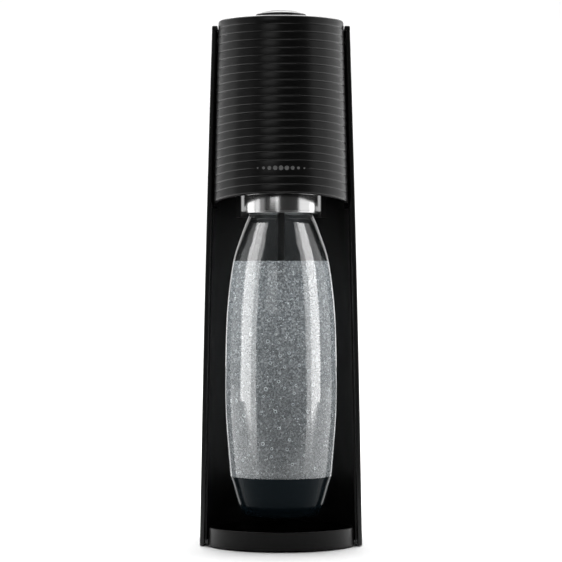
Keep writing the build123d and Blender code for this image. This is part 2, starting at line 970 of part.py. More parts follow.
def make_gas_tube():
    tube_radius = 2.0
    route = [
        (-12, valve_front, 382),
        (-12, 8, 382),
        (feed_x, -14, 378),
        (feed_x, tilt_pivot[0], 360),
        (feed_x, tilt_pivot[0], tilt_pivot[1] + fitting_size[2] / 2),
    ]
    runs = [Vector(*b) - Vector(*a) for a, b in zip(route, route[1:])]
    bends = []
    for run, following in zip(runs, runs[1:]):
        turn = run.get_angle(following)
        bends.append(0.45 * min(run.length, following.length) / tan(radians(turn / 2)))
    print("gas tube bend radii", [round(r, 1) for r in bends])
    with BuildPart() as gas_tube:
        with BuildLine() as path:
            FilletPolyline(*route, radius=bends)
        with BuildSketch(Plane(origin=route[0], z_dir=(0, -1, 0))):
            Circle(tube_radius)
        sweep(path=path.line)
    save(gas_tube, "gas_tube")


# ---- bottle ----

def bottle_form(shrink, floor):
    """The bottle's turned form below its neck, with its wall taken off by shrink."""
    foot = [(max(r - shrink, 0), max(z, floor)) for r, z in heel_outline]
    side = [(r - shrink, z) for r, z in [(rim_radius, cap_rim + 2 * shrink), *body_side]]
    neck = (neck_radius if shrink == 0 else neck_bore, neck_bottom)
    with BuildPart() as form:
        with BuildSketch(Plane(origin=(0, bottle_y, 0), x_dir=(1, 0, 0), z_dir=(0, -1, 0))):
            with BuildLine():
                Polyline(*foot, side[0])
                Spline(*side, neck, tangents=[(0.12, 1), (0, 1)])
                Polyline(neck, (0, neck_bottom), foot[0])
            make_face()
        revolve(axis=Axis((0, bottle_y, 0), (0, 0, 1)))
    return form.part


def make_bottle_body():
    with BuildPart() as bottle_body:
        add(bottle_form(0, heel_outline[0][1]))
        add(lathe([
            (0, neck_bottom),
            (neck_radius, neck_bottom),
            (neck_radius, ring_bottom),
            (ring_radius, ring_bottom),
            (ring_radius, ring_top),
            (neck_radius, ring_top),
            (neck_radius, bottle_mouth),
            (0, bottle_mouth),
        ]))
        add(bottle_form(bottle_wall, heel_outline[0][1] + bottle_wall), mode=Mode.SUBTRACT)
        with BuildSketch(Plane.XY.offset(neck_bottom)):
            with Locations((0, bottle_y)):
                Circle(neck_bore)
        extrude(amount=bottle_mouth - neck_bottom, mode=Mode.SUBTRACT)
    save(bottle_body, "bottle_body")


def make_bottle_base_cap():
    with BuildPart() as bottle_base_cap:
        with BuildSketch(Plane(origin=(0, bottle_y, 0), x_dir=(1, 0, 0), z_dir=(0, -1, 0))):
            with BuildLine():
                Line((0, bottle_bottom), cap_side[0])
                Spline(*cap_side, tangents=[(1, 0.15), (0.2, 1)])
                Polyline((rim_radius, cap_rim), *reversed(heel_outline), (0, bottle_bottom))
            make_face()
        revolve(axis=Axis((0, bottle_y, 0), (0, 0, 1)))
    save(bottle_base_cap, "bottle_base_cap")


# ---- drip tray ----

def tray_face(inset, height):
    """The tray's plan at a height: two arcs that meet beside the rails."""
    nose = tray_front_radius - inset
    tail = tray_back_radius - inset
    nose_centre = front_y + tray_front_radius
    tail_centre = tray_back - tray_back_radius
    gap = nose_centre - tail_centre
    meet = (tail * tail - nose * nose + gap * gap) / (2 * gap) + tail_centre
    corner = (tail * tail - (meet - tail_centre) ** 2) ** 0.5
    with BuildSketch(Plane.XY.offset(height)) as plan:
        with BuildLine():
            ThreePointArc((corner, meet), (0, nose_centre - nose), (-corner, meet))
            ThreePointArc((-corner, meet), (0, tail_centre + tail), (corner, meet))
        make_face()
        fillet(plan.vertices(), tail / 2)
    return plan.sketch


def make_drip_tray():
    nose_centre = front_y + tray_front_radius
    dish_floor = tray_underside + tray_floor
    with BuildPart() as drip_tray:
        extrude(tray_face(0, tray_underside), amount=tray_rim - tray_underside)
        extrude(tray_face(tray_wall, dish_floor), amount=tray_rim, mode=Mode.SUBTRACT)
        rim = drip_tray.edges().group_by(Axis.Z)[-1]
        fillet(rim, tray_rim_radius)
        with BuildSketch(Plane.XY.offset(skirt_bottom)):
            with Locations((0, nose_centre)):
                Circle(tray_front_radius)
                Circle(tray_front_radius - skirt_wall, mode=Mode.SUBTRACT)
            with Locations((0, skirt_end_y + tray_front_radius)):
                Rectangle(3 * tray_front_radius, 2 * tray_front_radius, mode=Mode.SUBTRACT)
        extrude(amount=tray_underside - skirt_bottom)
    save(drip_tray, "drip_tray")


make_main_housing()
make_rear_cover()
make_cover_latch()
make_top_cap()
make_base_plate()
make_base_screws()
make_rubber_feet()
make_recess_liner()
make_head_shell()
make_button_guide()
make_button_cap()
make_button_spring()
make_gas_lever()
make_lever_pin()
make_valve_block()
make_cylinder_seal()
make_valve_pin()
make_upper_frame()
make_frame_screws()
make_bail_pins()
make_cylinder_lever()
make_gas_cylinder()
make_cylinder_valve()
make_lift_yoke()
make_cylinder_seat()
make_tilt_pins()
make_nozzle_block()
make_relief_valve()
make_nozzle()
make_nozzle_seal()
make_bottle_cradle()
make_trim_band()
make_rear_collar()
make_gas_fitting()
make_gas_tube()
make_bottle_body()
make_bottle_base_cap()
make_drip_tray()
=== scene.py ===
import json
import math

import bmesh
import bpy
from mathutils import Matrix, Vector


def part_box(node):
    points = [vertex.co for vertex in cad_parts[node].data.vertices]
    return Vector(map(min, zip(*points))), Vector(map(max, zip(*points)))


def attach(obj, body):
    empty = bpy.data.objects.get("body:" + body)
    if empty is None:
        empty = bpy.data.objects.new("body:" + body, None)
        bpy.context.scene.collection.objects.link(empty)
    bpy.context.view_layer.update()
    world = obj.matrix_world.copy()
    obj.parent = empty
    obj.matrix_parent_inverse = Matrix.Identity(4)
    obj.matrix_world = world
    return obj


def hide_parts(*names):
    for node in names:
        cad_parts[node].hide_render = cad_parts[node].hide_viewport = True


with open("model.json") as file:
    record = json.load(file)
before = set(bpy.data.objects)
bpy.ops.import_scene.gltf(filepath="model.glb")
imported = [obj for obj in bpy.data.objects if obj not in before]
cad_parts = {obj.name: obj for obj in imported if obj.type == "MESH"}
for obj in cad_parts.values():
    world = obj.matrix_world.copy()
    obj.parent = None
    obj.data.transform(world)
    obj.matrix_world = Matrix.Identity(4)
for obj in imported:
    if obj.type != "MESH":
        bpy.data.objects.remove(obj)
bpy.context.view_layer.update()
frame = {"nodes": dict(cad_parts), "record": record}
nodes = frame["nodes"]


# Node trees: a wire is a socket that takes part in Python expressions

class Wire:
    def __init__(self, tree, socket):
        self.tree = tree
        self.socket = socket

    def maths(self, operation, *others):
        return self.tree.node("ShaderNodeMath", {"operation": operation}, dict(enumerate((self,) + others)))

    def atLeast(self, low):
        return self.maths("MAXIMUM", low)

    def atMost(self, high):
        return self.maths("MINIMUM", high)

    def __add__(self, other):
        return self.maths("ADD", other)

    def __radd__(self, other):
        return self + other

    def __sub__(self, other):
        return self.maths("SUBTRACT", other)

    def __rsub__(self, other):
        return self * -1.0 + other

    def __mul__(self, other):
        return self.maths("MULTIPLY", other)

    def __truediv__(self, other):
        return self.maths("DIVIDE", other)

    def __lt__(self, other):
        return self.maths("LESS_THAN", other)

    def __gt__(self, other):
        return self.maths("GREATER_THAN", other)


class Tree:
    # Adds nodes to a material, world or geometry tree, and links the wires among their inputs
    def __init__(self, nodeTree):
        self.nodeTree = nodeTree

    def node(self, kind, settings=None, sockets=None, output=0):
        made = self.nodeTree.nodes.new(kind)
        for key, value in (settings or {}).items():
            setattr(made, key, value)
        for key, value in (sockets or {}).items():
            if isinstance(value, Wire):
                self.nodeTree.links.new(value.socket, made.inputs[key])
            else:
                made.inputs[key].default_value = value
        return Wire(self, made.outputs[output]) if made.outputs else made

    def smooth(self, value, low, high):
        settings = {"interpolation_type": "SMOOTHSTEP"}
        return self.node("ShaderNodeMapRange", settings, {"Value": value, "From Min": low, "From Max": high})

    def blend(self, factor, first, second):
        colours = {0: factor, 6: first, 7: second}
        return self.node("ShaderNodeMix", {"data_type": "RGBA"}, colours, output=2)

    def split(self, vector):
        parts = self.node("ShaderNodeSeparateXYZ", None, {0: vector}).socket.node.outputs
        return [Wire(self, part) for part in parts]

    def objectPlace(self, scale=(1.0, 1.0, 1.0), centre=(0.0, 0.0, 0.0)):
        place = self.node("ShaderNodeTexCoord", output=3)
        shift = [-c * s for c, s in zip(centre, scale)]
        return self.node("ShaderNodeMapping", None, {"Vector": place, "Location": shift, "Scale": scale})

    def noise(self, place, scale, detail=2.0, roughness=0.5):
        return self.node("ShaderNodeTexNoise", None, {
            "Vector": place, "Scale": scale, "Detail": detail, "Roughness": roughness})

    def bump(self, height, distance, strength=1.0):
        return self.node("ShaderNodeBump", None, {
            "Height": height, "Distance": distance, "Strength": strength})


def startMaterial(name):
    material = bpy.data.materials.new(name)
    material.use_nodes = True
    material.node_tree.nodes.clear()
    return material, Tree(material.node_tree)


def endMaterial(material, tree, sockets):
    surface = tree.node("ShaderNodeBsdfPrincipled", None, sockets)
    tree.node("ShaderNodeOutputMaterial", None, {"Surface": surface})
    return material


def grey(level, tint=(1.0, 1.0, 1.0)):
    return (level * tint[0], level * tint[1], level * tint[2], 1.0)


# Finishes

def mouldedPlastic(name, colour, roughness, specular, grain, grainDepth, tint=(1.0, 1.0, 1.0),
                   spread=0.06, scuffs=0.15):
    # Spark-eroded mould grain, slow gloss changes from handling, and a few fine pale scuffs
    material, tree = startMaterial(name)
    place = tree.objectPlace()
    fine = tree.noise(place, grain, 3.0, 0.6)
    slow = tree.noise(place, 22.0, 4.0, 0.55)
    streak = tree.noise(tree.objectPlace((900.0, 900.0, 60.0)), 1.0, 2.0)
    worn = tree.smooth(streak, 0.70, 0.80) * tree.smooth(slow, 0.52, 0.66) * scuffs
    pale = worn + tree.smooth(fine, 0.35, 0.75) * 0.12
    base = tree.blend(pale, grey(colour, tint), grey(colour * 2.4, tint))
    return endMaterial(material, tree, {
        "Base Color": base,
        "Roughness": roughness + (slow - 0.5) * spread + worn * 0.2,
        "Specular IOR Level": specular,
        "Normal": tree.bump(fine, grainDepth, 0.6),
    })


def turnedMetal(name, colour, roughness, lines, spread=0.08, tint=(1.0, 1.0, 1.0)):
    # Fine lines run round the vertical axis, as a lathe or a brush leaves them
    material, tree = startMaterial(name)
    brush = tree.noise(tree.objectPlace((30.0, 30.0, lines)), 1.0, 3.0, 0.65)
    slow = tree.noise(tree.objectPlace(), 45.0, 3.0)
    base = tree.blend(tree.smooth(brush, 0.25, 0.75), grey(colour * 0.82, tint), grey(colour, tint))
    return endMaterial(material, tree, {
        "Base Color": base,
        "Metallic": 1.0,
        "Roughness": roughness + (brush - 0.5) * spread + (slow - 0.5) * 0.06,
        "Normal": tree.bump(brush, 0.00001, 0.5),
    })


def rubber(name, colour):
    material, tree = startMaterial(name)
    speck = tree.noise(tree.objectPlace(), 1800.0, 3.0, 0.7)
    dust = tree.noise(tree.objectPlace(), 160.0, 4.0)
    base = tree.blend(tree.smooth(dust, 0.45, 0.75) * 0.35, grey(colour), grey(colour * 3.0))
    return endMaterial(material, tree, {
        "Base Color": base,
        "Roughness": 0.78 + (speck - 0.5) * 0.2,
        "Specular IOR Level": 0.3,
        "Normal": tree.bump(speck, 0.00004, 0.7),
    })


def ribbedPlastic(name):
    # The head's satin black: finer grain than the casing
    material, tree = startMaterial(name)
    fine = tree.noise(tree.objectPlace(), 3200.0, 3.0, 0.6)
    slow = tree.noise(tree.objectPlace((1.0, 1.0, 0.35)), 26.0, 4.0)
    touch = tree.noise(tree.objectPlace(), 70.0, 5.0, 0.65)
    prints = tree.smooth(touch, 0.55, 0.72) * tree.smooth(slow, 0.48, 0.62)
    base = tree.blend(tree.smooth(fine, 0.3, 0.8) * 0.25, grey(0.006), grey(0.012))
    return endMaterial(material, tree, {
        "Base Color": base,
        "Roughness": 0.3 + (slow - 0.5) * 0.07 + prints * 0.07,
        "Specular IOR Level": 0.5,
        "Normal": tree.bump(fine, 0.000015, 0.5),
    })


def brushedTrim(name, centre):
    material, tree = startMaterial(name)
    hair = tree.noise(tree.objectPlace((14.0, 14.0, 5200.0), centre), 1.0, 4.0, 0.7)
    broad = tree.noise(tree.objectPlace((10.0, 10.0, 420.0), centre), 1.0, 2.0)
    base = tree.blend(tree.smooth(hair, 0.25, 0.75), grey(0.70), grey(0.92))
    return endMaterial(material, tree, {
        "Base Color": base,
        "Metallic": 1.0,
        "Roughness": 0.17 + (hair - 0.5) * 0.12 + (broad - 0.5) * 0.05,
        "Normal": tree.bump(hair, 0.000012, 0.7),
    })


def clearBottle(name, centre):
    # Thin flow lines in the moulded wall and faint handling marks
    material, tree = startMaterial(name)
    flow = tree.noise(tree.objectPlace((170.0, 170.0, 5.0), centre), 1.0, 3.0)
    marks = tree.noise(tree.objectPlace(), 130.0, 5.0, 0.7)
    base = tree.blend(tree.smooth(marks, 0.5, 0.8) * 0.4, grey(0.97, (0.985, 1.0, 1.0)), grey(0.90))
    return endMaterial(material, tree, {
        "Base Color": base,
        "Roughness": 0.03 + tree.smooth(marks, 0.58, 0.8) * 0.05,
        "IOR": 1.5,
        "Transmission Weight": 1.0,
        "Normal": tree.bump(flow, 0.0003, 0.25),
    })


def glossCap(name, centre):
    material, tree = startMaterial(name)
    fine = tree.noise(tree.objectPlace(), 420.0, 3.0)
    scratch = tree.noise(tree.objectPlace((40.0, 40.0, 1500.0), centre), 1.0, 3.0)
    worn = tree.smooth(scratch, 0.62, 0.75)
    base = tree.blend(worn * 0.25, grey(0.006, (0.55, 1.0, 1.35)), grey(0.02, (0.8, 1.0, 1.15)))
    return endMaterial(material, tree, {
        "Base Color": base,
        "Roughness": 0.16 + (fine - 0.5) * 0.04 + worn * 0.08,
        "Specular IOR Level": 0.08,
        "Specular Tint": grey(1.0, (0.72, 0.9, 1.0)),
        "Normal": tree.bump(fine, 0.00003, 0.15),
    })


def sparklingWater(name):
    # Lively water: partly clear, partly whitened by bubbles too small to see one by one
    material, tree = startMaterial(name)
    place = tree.objectPlace()
    swirl = tree.noise(tree.objectPlace((1.0, 1.0, 0.45)), 55.0, 4.0, 0.6)
    mist = tree.noise(place, 700.0, 3.0, 0.7)
    height = tree.split(place)[2]
    base = tree.blend(tree.smooth(mist, 0.45, 0.7), grey(0.17, (0.86, 0.94, 1.0)),
                      grey(0.62, (0.94, 0.98, 1.0)))
    base = tree.blend(tree.smooth(height, 0.06, 0.23), tree.blend(0.4, base, grey(0.1)), base)
    return endMaterial(material, tree, {
        "Base Color": base,
        "Roughness": 0.06 + tree.smooth(mist, 0.4, 0.8) * 0.1,
        "IOR": 1.33,
        "Transmission Weight": 0.55,
        "Normal": tree.bump(swirl, 0.0015, 0.3),
    })


def bubbleSkin(name):
    material, tree = startMaterial(name)
    patch = tree.noise(tree.objectPlace(), 240.0, 2.0)
    return endMaterial(material, tree, {
        "Base Color": tree.blend(tree.smooth(patch, 0.35, 0.7), grey(0.7, (0.9, 0.96, 1.0)),
                                 grey(0.95, (0.95, 0.98, 1.0))),
        "Roughness": 0.08 + patch * 0.06,
        "Alpha": 0.5 + tree.smooth(patch, 0.3, 0.75) * 0.45,
        "IOR": 1.33,
    })


def paleInk(name):
    material, tree = startMaterial(name)
    speck = tree.noise(tree.objectPlace(), 2400.0, 3.0)
    return endMaterial(material, tree, {
        "Base Color": tree.blend(tree.smooth(speck, 0.3, 0.7), grey(0.24), grey(0.36)),
        "Roughness": 0.42 + (speck - 0.5) * 0.15,
        "Normal": tree.bump(speck, 0.00001, 0.4),
    })


bottleLow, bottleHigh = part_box("bottle_body")
bottleAxis = (0.0, ((bottleLow + bottleHigh) / 2).y, 0.0)

finishes = {
    "casing_black": mouldedPlastic("casingBlack", 0.007, 0.3, 0.5, 2200.0, 0.00002),
    "inner_grey": mouldedPlastic("innerGrey", 0.16, 0.5, 0.45, 1500.0, 0.00003, tint=(0.97, 0.99, 1.0)),
    "tray_black": mouldedPlastic("trayBlack", 0.005, 0.3, 0.14, 2400.0, 0.000015),
    "button_black": mouldedPlastic("buttonBlack", 0.008, 0.3, 0.5, 2600.0, 0.000015),
    "ribbed_black": ribbedPlastic("ribbedBlack"),
    "bay_black": mouldedPlastic("bayBlack", 0.008, 0.48, 0.25, 1800.0, 0.00003),
    "handle_grey": mouldedPlastic("handleGrey", 0.32, 0.42, 0.5, 1700.0, 0.00002, tint=(1.0, 0.98, 0.95)),
    "nozzle_plastic": mouldedPlastic("nozzlePlastic", 0.006, 0.4, 0.25, 1900.0, 0.00001),
    "cradle_black": mouldedPlastic("cradleBlack", 0.006, 0.4, 0.35, 2300.0, 0.00002),
    "brushed_trim": brushedTrim("brushedTrim", bottleAxis),
    "clear_bottle": clearBottle("clearBottle", bottleAxis),
    "cap_gloss": glossCap("capGloss", bottleAxis),
    "cylinder_aluminium": turnedMetal("cylinderAluminium", 0.55, 0.36, 900.0),
    "brass_fittings": turnedMetal("brassFittings", 0.6, 0.3, 3200.0, tint=(1.0, 0.78, 0.42)),
    "steel_hardware": turnedMetal("steelHardware", 0.5, 0.27, 4200.0),
    "soft_rubber": rubber("softRubber", 0.02),
    "tube_plastic": mouldedPlastic("tubePlastic", 0.5, 0.3, 0.5, 1200.0, 0.00001),
    "water": sparklingWater("sparklingWater"),
}
bubbleMaterial = bubbleSkin("bubbleSkin")
inkMaterial = paleInk("paleInk")
print("finishes made:", len(finishes) + 2)


# Mesh helpers

touching = 1e-7


def plainMesh(name, bm):
    mesh = bpy.data.meshes.new(name)
    bm.to_mesh(mesh)
    bm.free()
    return mesh


def finishPiece(name, bm, material, sharpAngle):
    bmesh.ops.remove_doubles(bm, verts=bm.verts, dist=touching)
    if bm.calc_volume(signed=True) < 0.0:
        bmesh.ops.reverse_faces(bm, faces=bm.faces)
    return placeMesh(name, plainMesh(name, bm), material, sharpAngle)


def placeMesh(name, mesh, material, sharpAngle):
    mesh.polygons.foreach_set("use_smooth", [True] * len(mesh.polygons))
    mesh.set_sharp_from_angle(angle=math.radians(sharpAngle))
    mesh.materials.clear()
    mesh.materials.append(material)
    piece = bpy.data.objects.new(name, mesh)
    bpy.context.scene.collection.objects.link(piece)
    return piece


def hand(piece, body, slotName, *replaced):
    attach(piece, body)
    if replaced:
        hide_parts(*replaced)


def ringRows(bm, rows, closed=True):
    # Joins rows of points, each as long as the next, or a single point at a pole
    made = [[bm.verts.new(point) for point in row] for row in rows]
    following = made[1:] + made[:1] if closed else made[1:]
    for low, high in zip(made, following):
        count = max(len(low), len(high))
        for i in range(count):
            j = (i + 1) % count
            corners = []
            for vertex in (low[i % len(low)], low[j % len(low)], high[j % len(high)], high[i % len(high)]):
                if vertex not in corners:
                    corners.append(vertex)
            bm.faces.new(corners)


def ringAt(radius, axisY, height, segments):
    angles = [2.0 * math.pi * i / segments for i in range(segments)]
    return [(radius * math.cos(a), axisY + radius * math.sin(a), height) for a in angles]


def turned(name, profile, axisY, material, segments, sharpAngle):
    # A profile of (radius, height) points turned about a vertical axis
    bm = bmesh.new()
    rows = [ringAt(radius, axisY, height, segments) if radius > touching else [(0.0, axisY, height)]
            for radius, height in profile]
    ringRows(bm, rows, closed=len(rows[0]) > 1)
    return finishPiece(name, bm, material, sharpAngle)


def flowing(points, steps):
    # A smooth curve through a few (radius, height) points
    ends = [points[0]] + list(points) + [points[-1]]
    curve = []
    for i in range(len(points) - 1):
        before, start, end, after = [Vector(p) for p in ends[i:i + 4]]
        for step in range(steps):
            t = step / steps
            curve.append(0.5 * (2.0 * start + (end - before) * t
                                + (2.0 * before - 5.0 * start + 4.0 * end - after) * t * t
                                + (3.0 * start - before - 3.0 * end + after) * t ** 3))
    curve.append(Vector(points[-1]))
    return [tuple(p) for p in curve]


def arc(centre, radius, first, last, steps=4):
    angles = [math.radians(first + (last - first) * i / steps) for i in range(steps + 1)]
    return [(centre[0] + radius * math.cos(a), centre[1] + radius * math.sin(a)) for a in angles]


def inward(curve, distance):
    # The same curve, moved towards the axis along its own normals
    moved = []
    for i, (radius, height) in enumerate(curve):
        before = Vector(curve[max(i - 1, 0)])
        after = Vector(curve[min(i + 1, len(curve) - 1)])
        along = (after - before).normalized()
        moved.append((radius - along.y * distance, height + along.x * distance))
    return moved


# Geometry trees

def startGeometry(name, kinds):
    # A geometry tree with its inputs, given as wires by name
    nodeTree = bpy.data.node_groups.new(name, "GeometryNodeTree")
    nodeTree.interface.new_socket("Geometry", in_out="OUTPUT", socket_type="NodeSocketGeometry")
    for kind, inputs in kinds.items():
        for given in inputs:
            nodeTree.interface.new_socket(given, in_out="INPUT", socket_type="NodeSocket" + kind)
    tree = Tree(nodeTree)
    sockets = nodeTree.nodes.new("NodeGroupInput").outputs
    return tree, {socket.name: Wire(tree, socket) for socket in sockets if socket.name}


def endGeometry(tree, geometry, material):
    real = tree.node("GeometryNodeRealizeInstances", None, {"Geometry": geometry})
    done = tree.node("GeometryNodeSetMaterial", None, {"Geometry": real, "Material": material})
    tree.node("NodeGroupOutput", None, {0: done})
    return tree.nodeTree


def grow(name, nodeTree, values, start=None):
    # Runs a geometry tree on a mesh, or on an empty one, and keeps the result as a plain mesh
    carrier = bpy.data.objects.new(name, start or bpy.data.meshes.new(name))
    bpy.context.scene.collection.objects.link(carrier)
    modifier = carrier.modifiers.new(name, "NODES")
    modifier.node_group = nodeTree
    for item in nodeTree.interface.items_tree:
        if item.in_out == "INPUT" and item.name in values:
            modifier[item.identifier] = values[item.name]
    evaluated = carrier.evaluated_get(bpy.context.evaluated_depsgraph_get())
    mesh = bpy.data.meshes.new_from_object(evaluated)
    carrier.modifiers.clear()
    bpy.data.objects.remove(carrier)
    return mesh


# Head: the ribbed wall comes from a rule, the deck closes it above

head = {
    "columnHeight": 0.420,
    "baseHalfWidth": 0.0611,
    "lean": 0.0068,
    "bow": 0.0032,
    "topGroove": 0.4204,
    "groovePitch": 0.006385,
    "grooveCount": 21,
    "grooveDepth": 0.00032,
    "grooveHalfWidth": 0.00075,
    "bottomSlope": 0.137,
    "frontBottom": 0.2855,
    "wall": 0.0025,
    "sideEnd": -0.030,
    "wallTop": 0.4194,
    "edgeRadius": 0.002,
    "buttonHole": 0.0212,
    "plainGroove": 18,
    "plainHalfWidth": 0.0235,
    "columns": 96,
    "rowsPerHalf": 7,
    "mergeReach": 0.000002,
    "lip": 0.0005,
    "frontSteps": 120,
    "sideSteps": 10,
    "backSteps": 14,
    "edgeSteps": 6,
}


def columnHalfWidth(height):
    t = height / head["columnHeight"]
    return head["baseHalfWidth"] - head["lean"] * t - head["bow"] * t * t


def makeRibTree():
    g, size = startGeometry("ribbedWall", {"Material": ["finish"], "Float": [
        "baseHalfWidth", "lean", "bow", "columnHeight", "topGroove", "groovePitch", "grooveCount",
        "grooveDepth", "grooveHalfWidth", "bottomSlope", "frontBottom", "wall", "sideEnd", "wallTop",
        "plainGroove", "plainHalfWidth", "frontY"]})
    perHalf = head["rowsPerHalf"]
    rows = perHalf * (2 * head["grooveCount"] + 1)
    columns = head["columns"]

    # The grid's first way runs round the head, its second down the outside and back up the inside
    grid = g.node("GeometryNodeMeshGrid", None, {
        "Size X": float(columns + 2), "Size Y": float(2 * rows + 2),
        "Vertices X": columns + 3, "Vertices Y": 2 * rows + 3})
    spot = g.split(g.node("GeometryNodeInputPosition"))
    across = spot[0] + (columns + 2) / 2
    down = spot[1] + (rows + 1)
    inside = (down > rows + 0.5) * (down < 2 * rows + 1.5)
    row = inside * (2 * rows + 1 - down) + (1 - inside) * down * (down < rows + 0.5)
    endFlap = (across < 0.5) + (across > columns + 1.5)
    share = ((across - 1.0) / columns).atLeast(0.0).atMost(1.0)

    # All but one of the rows beside a groove lie inside it, the last is halfway to the next
    first = (size["topGroove"] - size["wallTop"]) / size["groovePitch"]
    last = (size["topGroove"] - size["frontBottom"]) / size["groovePitch"]
    level = row / (2 * perHalf)
    nearest = level.maths("ROUND")
    away = level - nearest
    count = away.maths("ABSOLUTE") * (2 * perHalf)
    reach = size["grooveHalfWidth"] / size["groovePitch"]
    within = (count / (perHalf - 1)).atMost(1.0)
    beyond = (count - (perHalf - 1)).atLeast(0.0)
    offset = within * reach + beyond * (0.5 - reach)
    crowded = (nearest + away.maths("SIGN") * offset).atLeast(first).atMost(last)
    gap = ((crowded - nearest).maths("ABSOLUTE") / reach).atMost(1.0)
    dip = ((gap * math.pi).maths("COSINE") * 0.5 + 0.5) * size["grooveDepth"]

    # Plan: straight at the sides, half round in front; width and slope depend on the height
    frontHeight = size["topGroove"] - size["groovePitch"] * crowded
    slope = size["bottomSlope"] * crowded / size["grooveCount"]
    inset = size["wall"] * inside
    inset = inset * (1 - endFlap) + endFlap * size["wall"] * 0.5

    def halfWidth(height):
        t = height / size["columnHeight"]
        return size["baseHalfWidth"] - size["lean"] * t - size["bow"] * t * t

    def planAt(height, depth):
        radius = halfWidth(height)
        side = size["sideEnd"] - (size["frontY"] + radius)
        path = share * (side * 2.0 + radius * math.pi)
        angle = ((path - side) / radius).atLeast(0.0).atMost(math.pi)
        back = (side - path).atLeast(0.0) + (path - side - radius * math.pi).atLeast(0.0)
        run = radius - depth
        x = run * angle.maths("COSINE")
        y = size["frontY"] + radius - run * angle.maths("SINE") + back
        return x, y

    # Rows slope down towards the back: a first height gives the plan, and the plan gives the height
    height = frontHeight - slope * (planAt(frontHeight, 0.0)[1] - size["frontY"])
    plain = nearest.maths("COMPARE", size["plainGroove"], 0.1)
    x0 = planAt(height, 0.0)[0]
    middle = g.smooth(x0.maths("ABSOLUTE"), size["plainHalfWidth"] * 0.9, size["plainHalfWidth"])
    dip = dip * (1 - plain * (1 - middle)) * (1 - inside) * (1 - endFlap)
    x, y = planAt(height, inset + dip)
    height = frontHeight - slope * (y - size["frontY"])
    moved = g.node("GeometryNodeSetPosition", None, {
        "Geometry": grid, "Position": g.node("ShaderNodeCombineXYZ", None, {"X": x, "Y": y, "Z": height})})
    merged = g.node("GeometryNodeMergeByDistance", None, {"Geometry": moved, "Distance": head["mergeReach"]})
    return endGeometry(g, merged, size["finish"])


shellLow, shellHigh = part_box("head_shell")
ribValues = {key: float(value) for key, value in head.items()}
ribValues.update(frontY=shellLow.y, finish=finishes["ribbed_black"])
bm = bmesh.new()
bm.from_mesh(grow("ribbed_wall", makeRibTree(), ribValues))
ribbedWall = finishPiece("ribbed_wall", bm, finishes["ribbed_black"], 50.0)
hand(ribbedWall, "housing", "ribbed_black", "head_shell")
print("ribbed wall:", len(ribbedWall.data.polygons), "faces")


def headOutline(height, inset):
    # Round front, straight sides and a straight back, as points round the button
    radius = columnHalfWidth(height)
    centreY = shellLow.y + radius
    backY = shellHigh.y - inset
    frontSteps, sideSteps, backSteps = head["frontSteps"], head["sideSteps"], head["backSteps"]
    half = radius - inset
    points = [(half * math.cos(a), centreY - half * math.sin(a))
              for a in [math.pi * i / frontSteps for i in range(frontSteps + 1)]]
    points += [(-half, centreY + (backY - centreY) * i / sideSteps) for i in range(1, sideSteps + 1)]
    points += [(-half + 2.0 * half * i / backSteps, backY) for i in range(1, backSteps + 1)]
    points += [(half, backY + (centreY - backY) * i / sideSteps) for i in range(1, sideSteps)]
    return [(x, y, height) for x, y in points]


def makeDeck():
    top, groove, lip = shellHigh.z, head["topGroove"], head["lip"]
    ceiling = top - head["wall"]
    depth, half, edge = head["grooveDepth"], head["grooveHalfWidth"], head["edgeRadius"]
    buttonLow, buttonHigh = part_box("button_cap")
    middleY = (buttonLow.y + buttonHigh.y) / 2
    sections = [(0.0, head["wallTop"]), (0.0, groove - half), (depth * 0.5, groove - half / 2),
                (depth, groove), (depth * 0.5, groove + half / 2), (0.0, groove + half)]
    sections += [(edge - edge * math.cos(a), top - edge + edge * math.sin(a))
                 for a in [math.pi / 2 * i / head["edgeSteps"] for i in range(head["edgeSteps"] + 1)]]
    rows = [headOutline(z, inset) for inset, z in sections]

    def hole(radius, z):
        return [(radius * math.cos(a), middleY + radius * math.sin(a), z)
                for a in [math.atan2(y - middleY, x) for x, y, _ in rows[-1]]]

    rows += [hole(head["buttonHole"] + lip, top), hole(head["buttonHole"], top - lip),
             hole(head["buttonHole"], ceiling), headOutline(ceiling, head["wall"] + lip),
             headOutline(head["wallTop"], head["wall"])]
    bm = bmesh.new()
    ringRows(bm, rows)
    return finishPiece("head_deck", bm, finishes["ribbed_black"], 30.0)


hand(makeDeck(), "housing", "ribbed_black", "head_shell")
print("head deck made")


# A row of graded dots on the plain stretch of the head

dotRow = {
    "count": 9,
    "halfSpan": 0.0185,
    "smallRadius": 0.0007,
    "largeRadius": 0.0019,
    "thickness": 0.0004,
    "proud": 0.00008,
    "rimDrop": 0.00005,
    "flatShare": 0.9,
    "segments": 28,
}


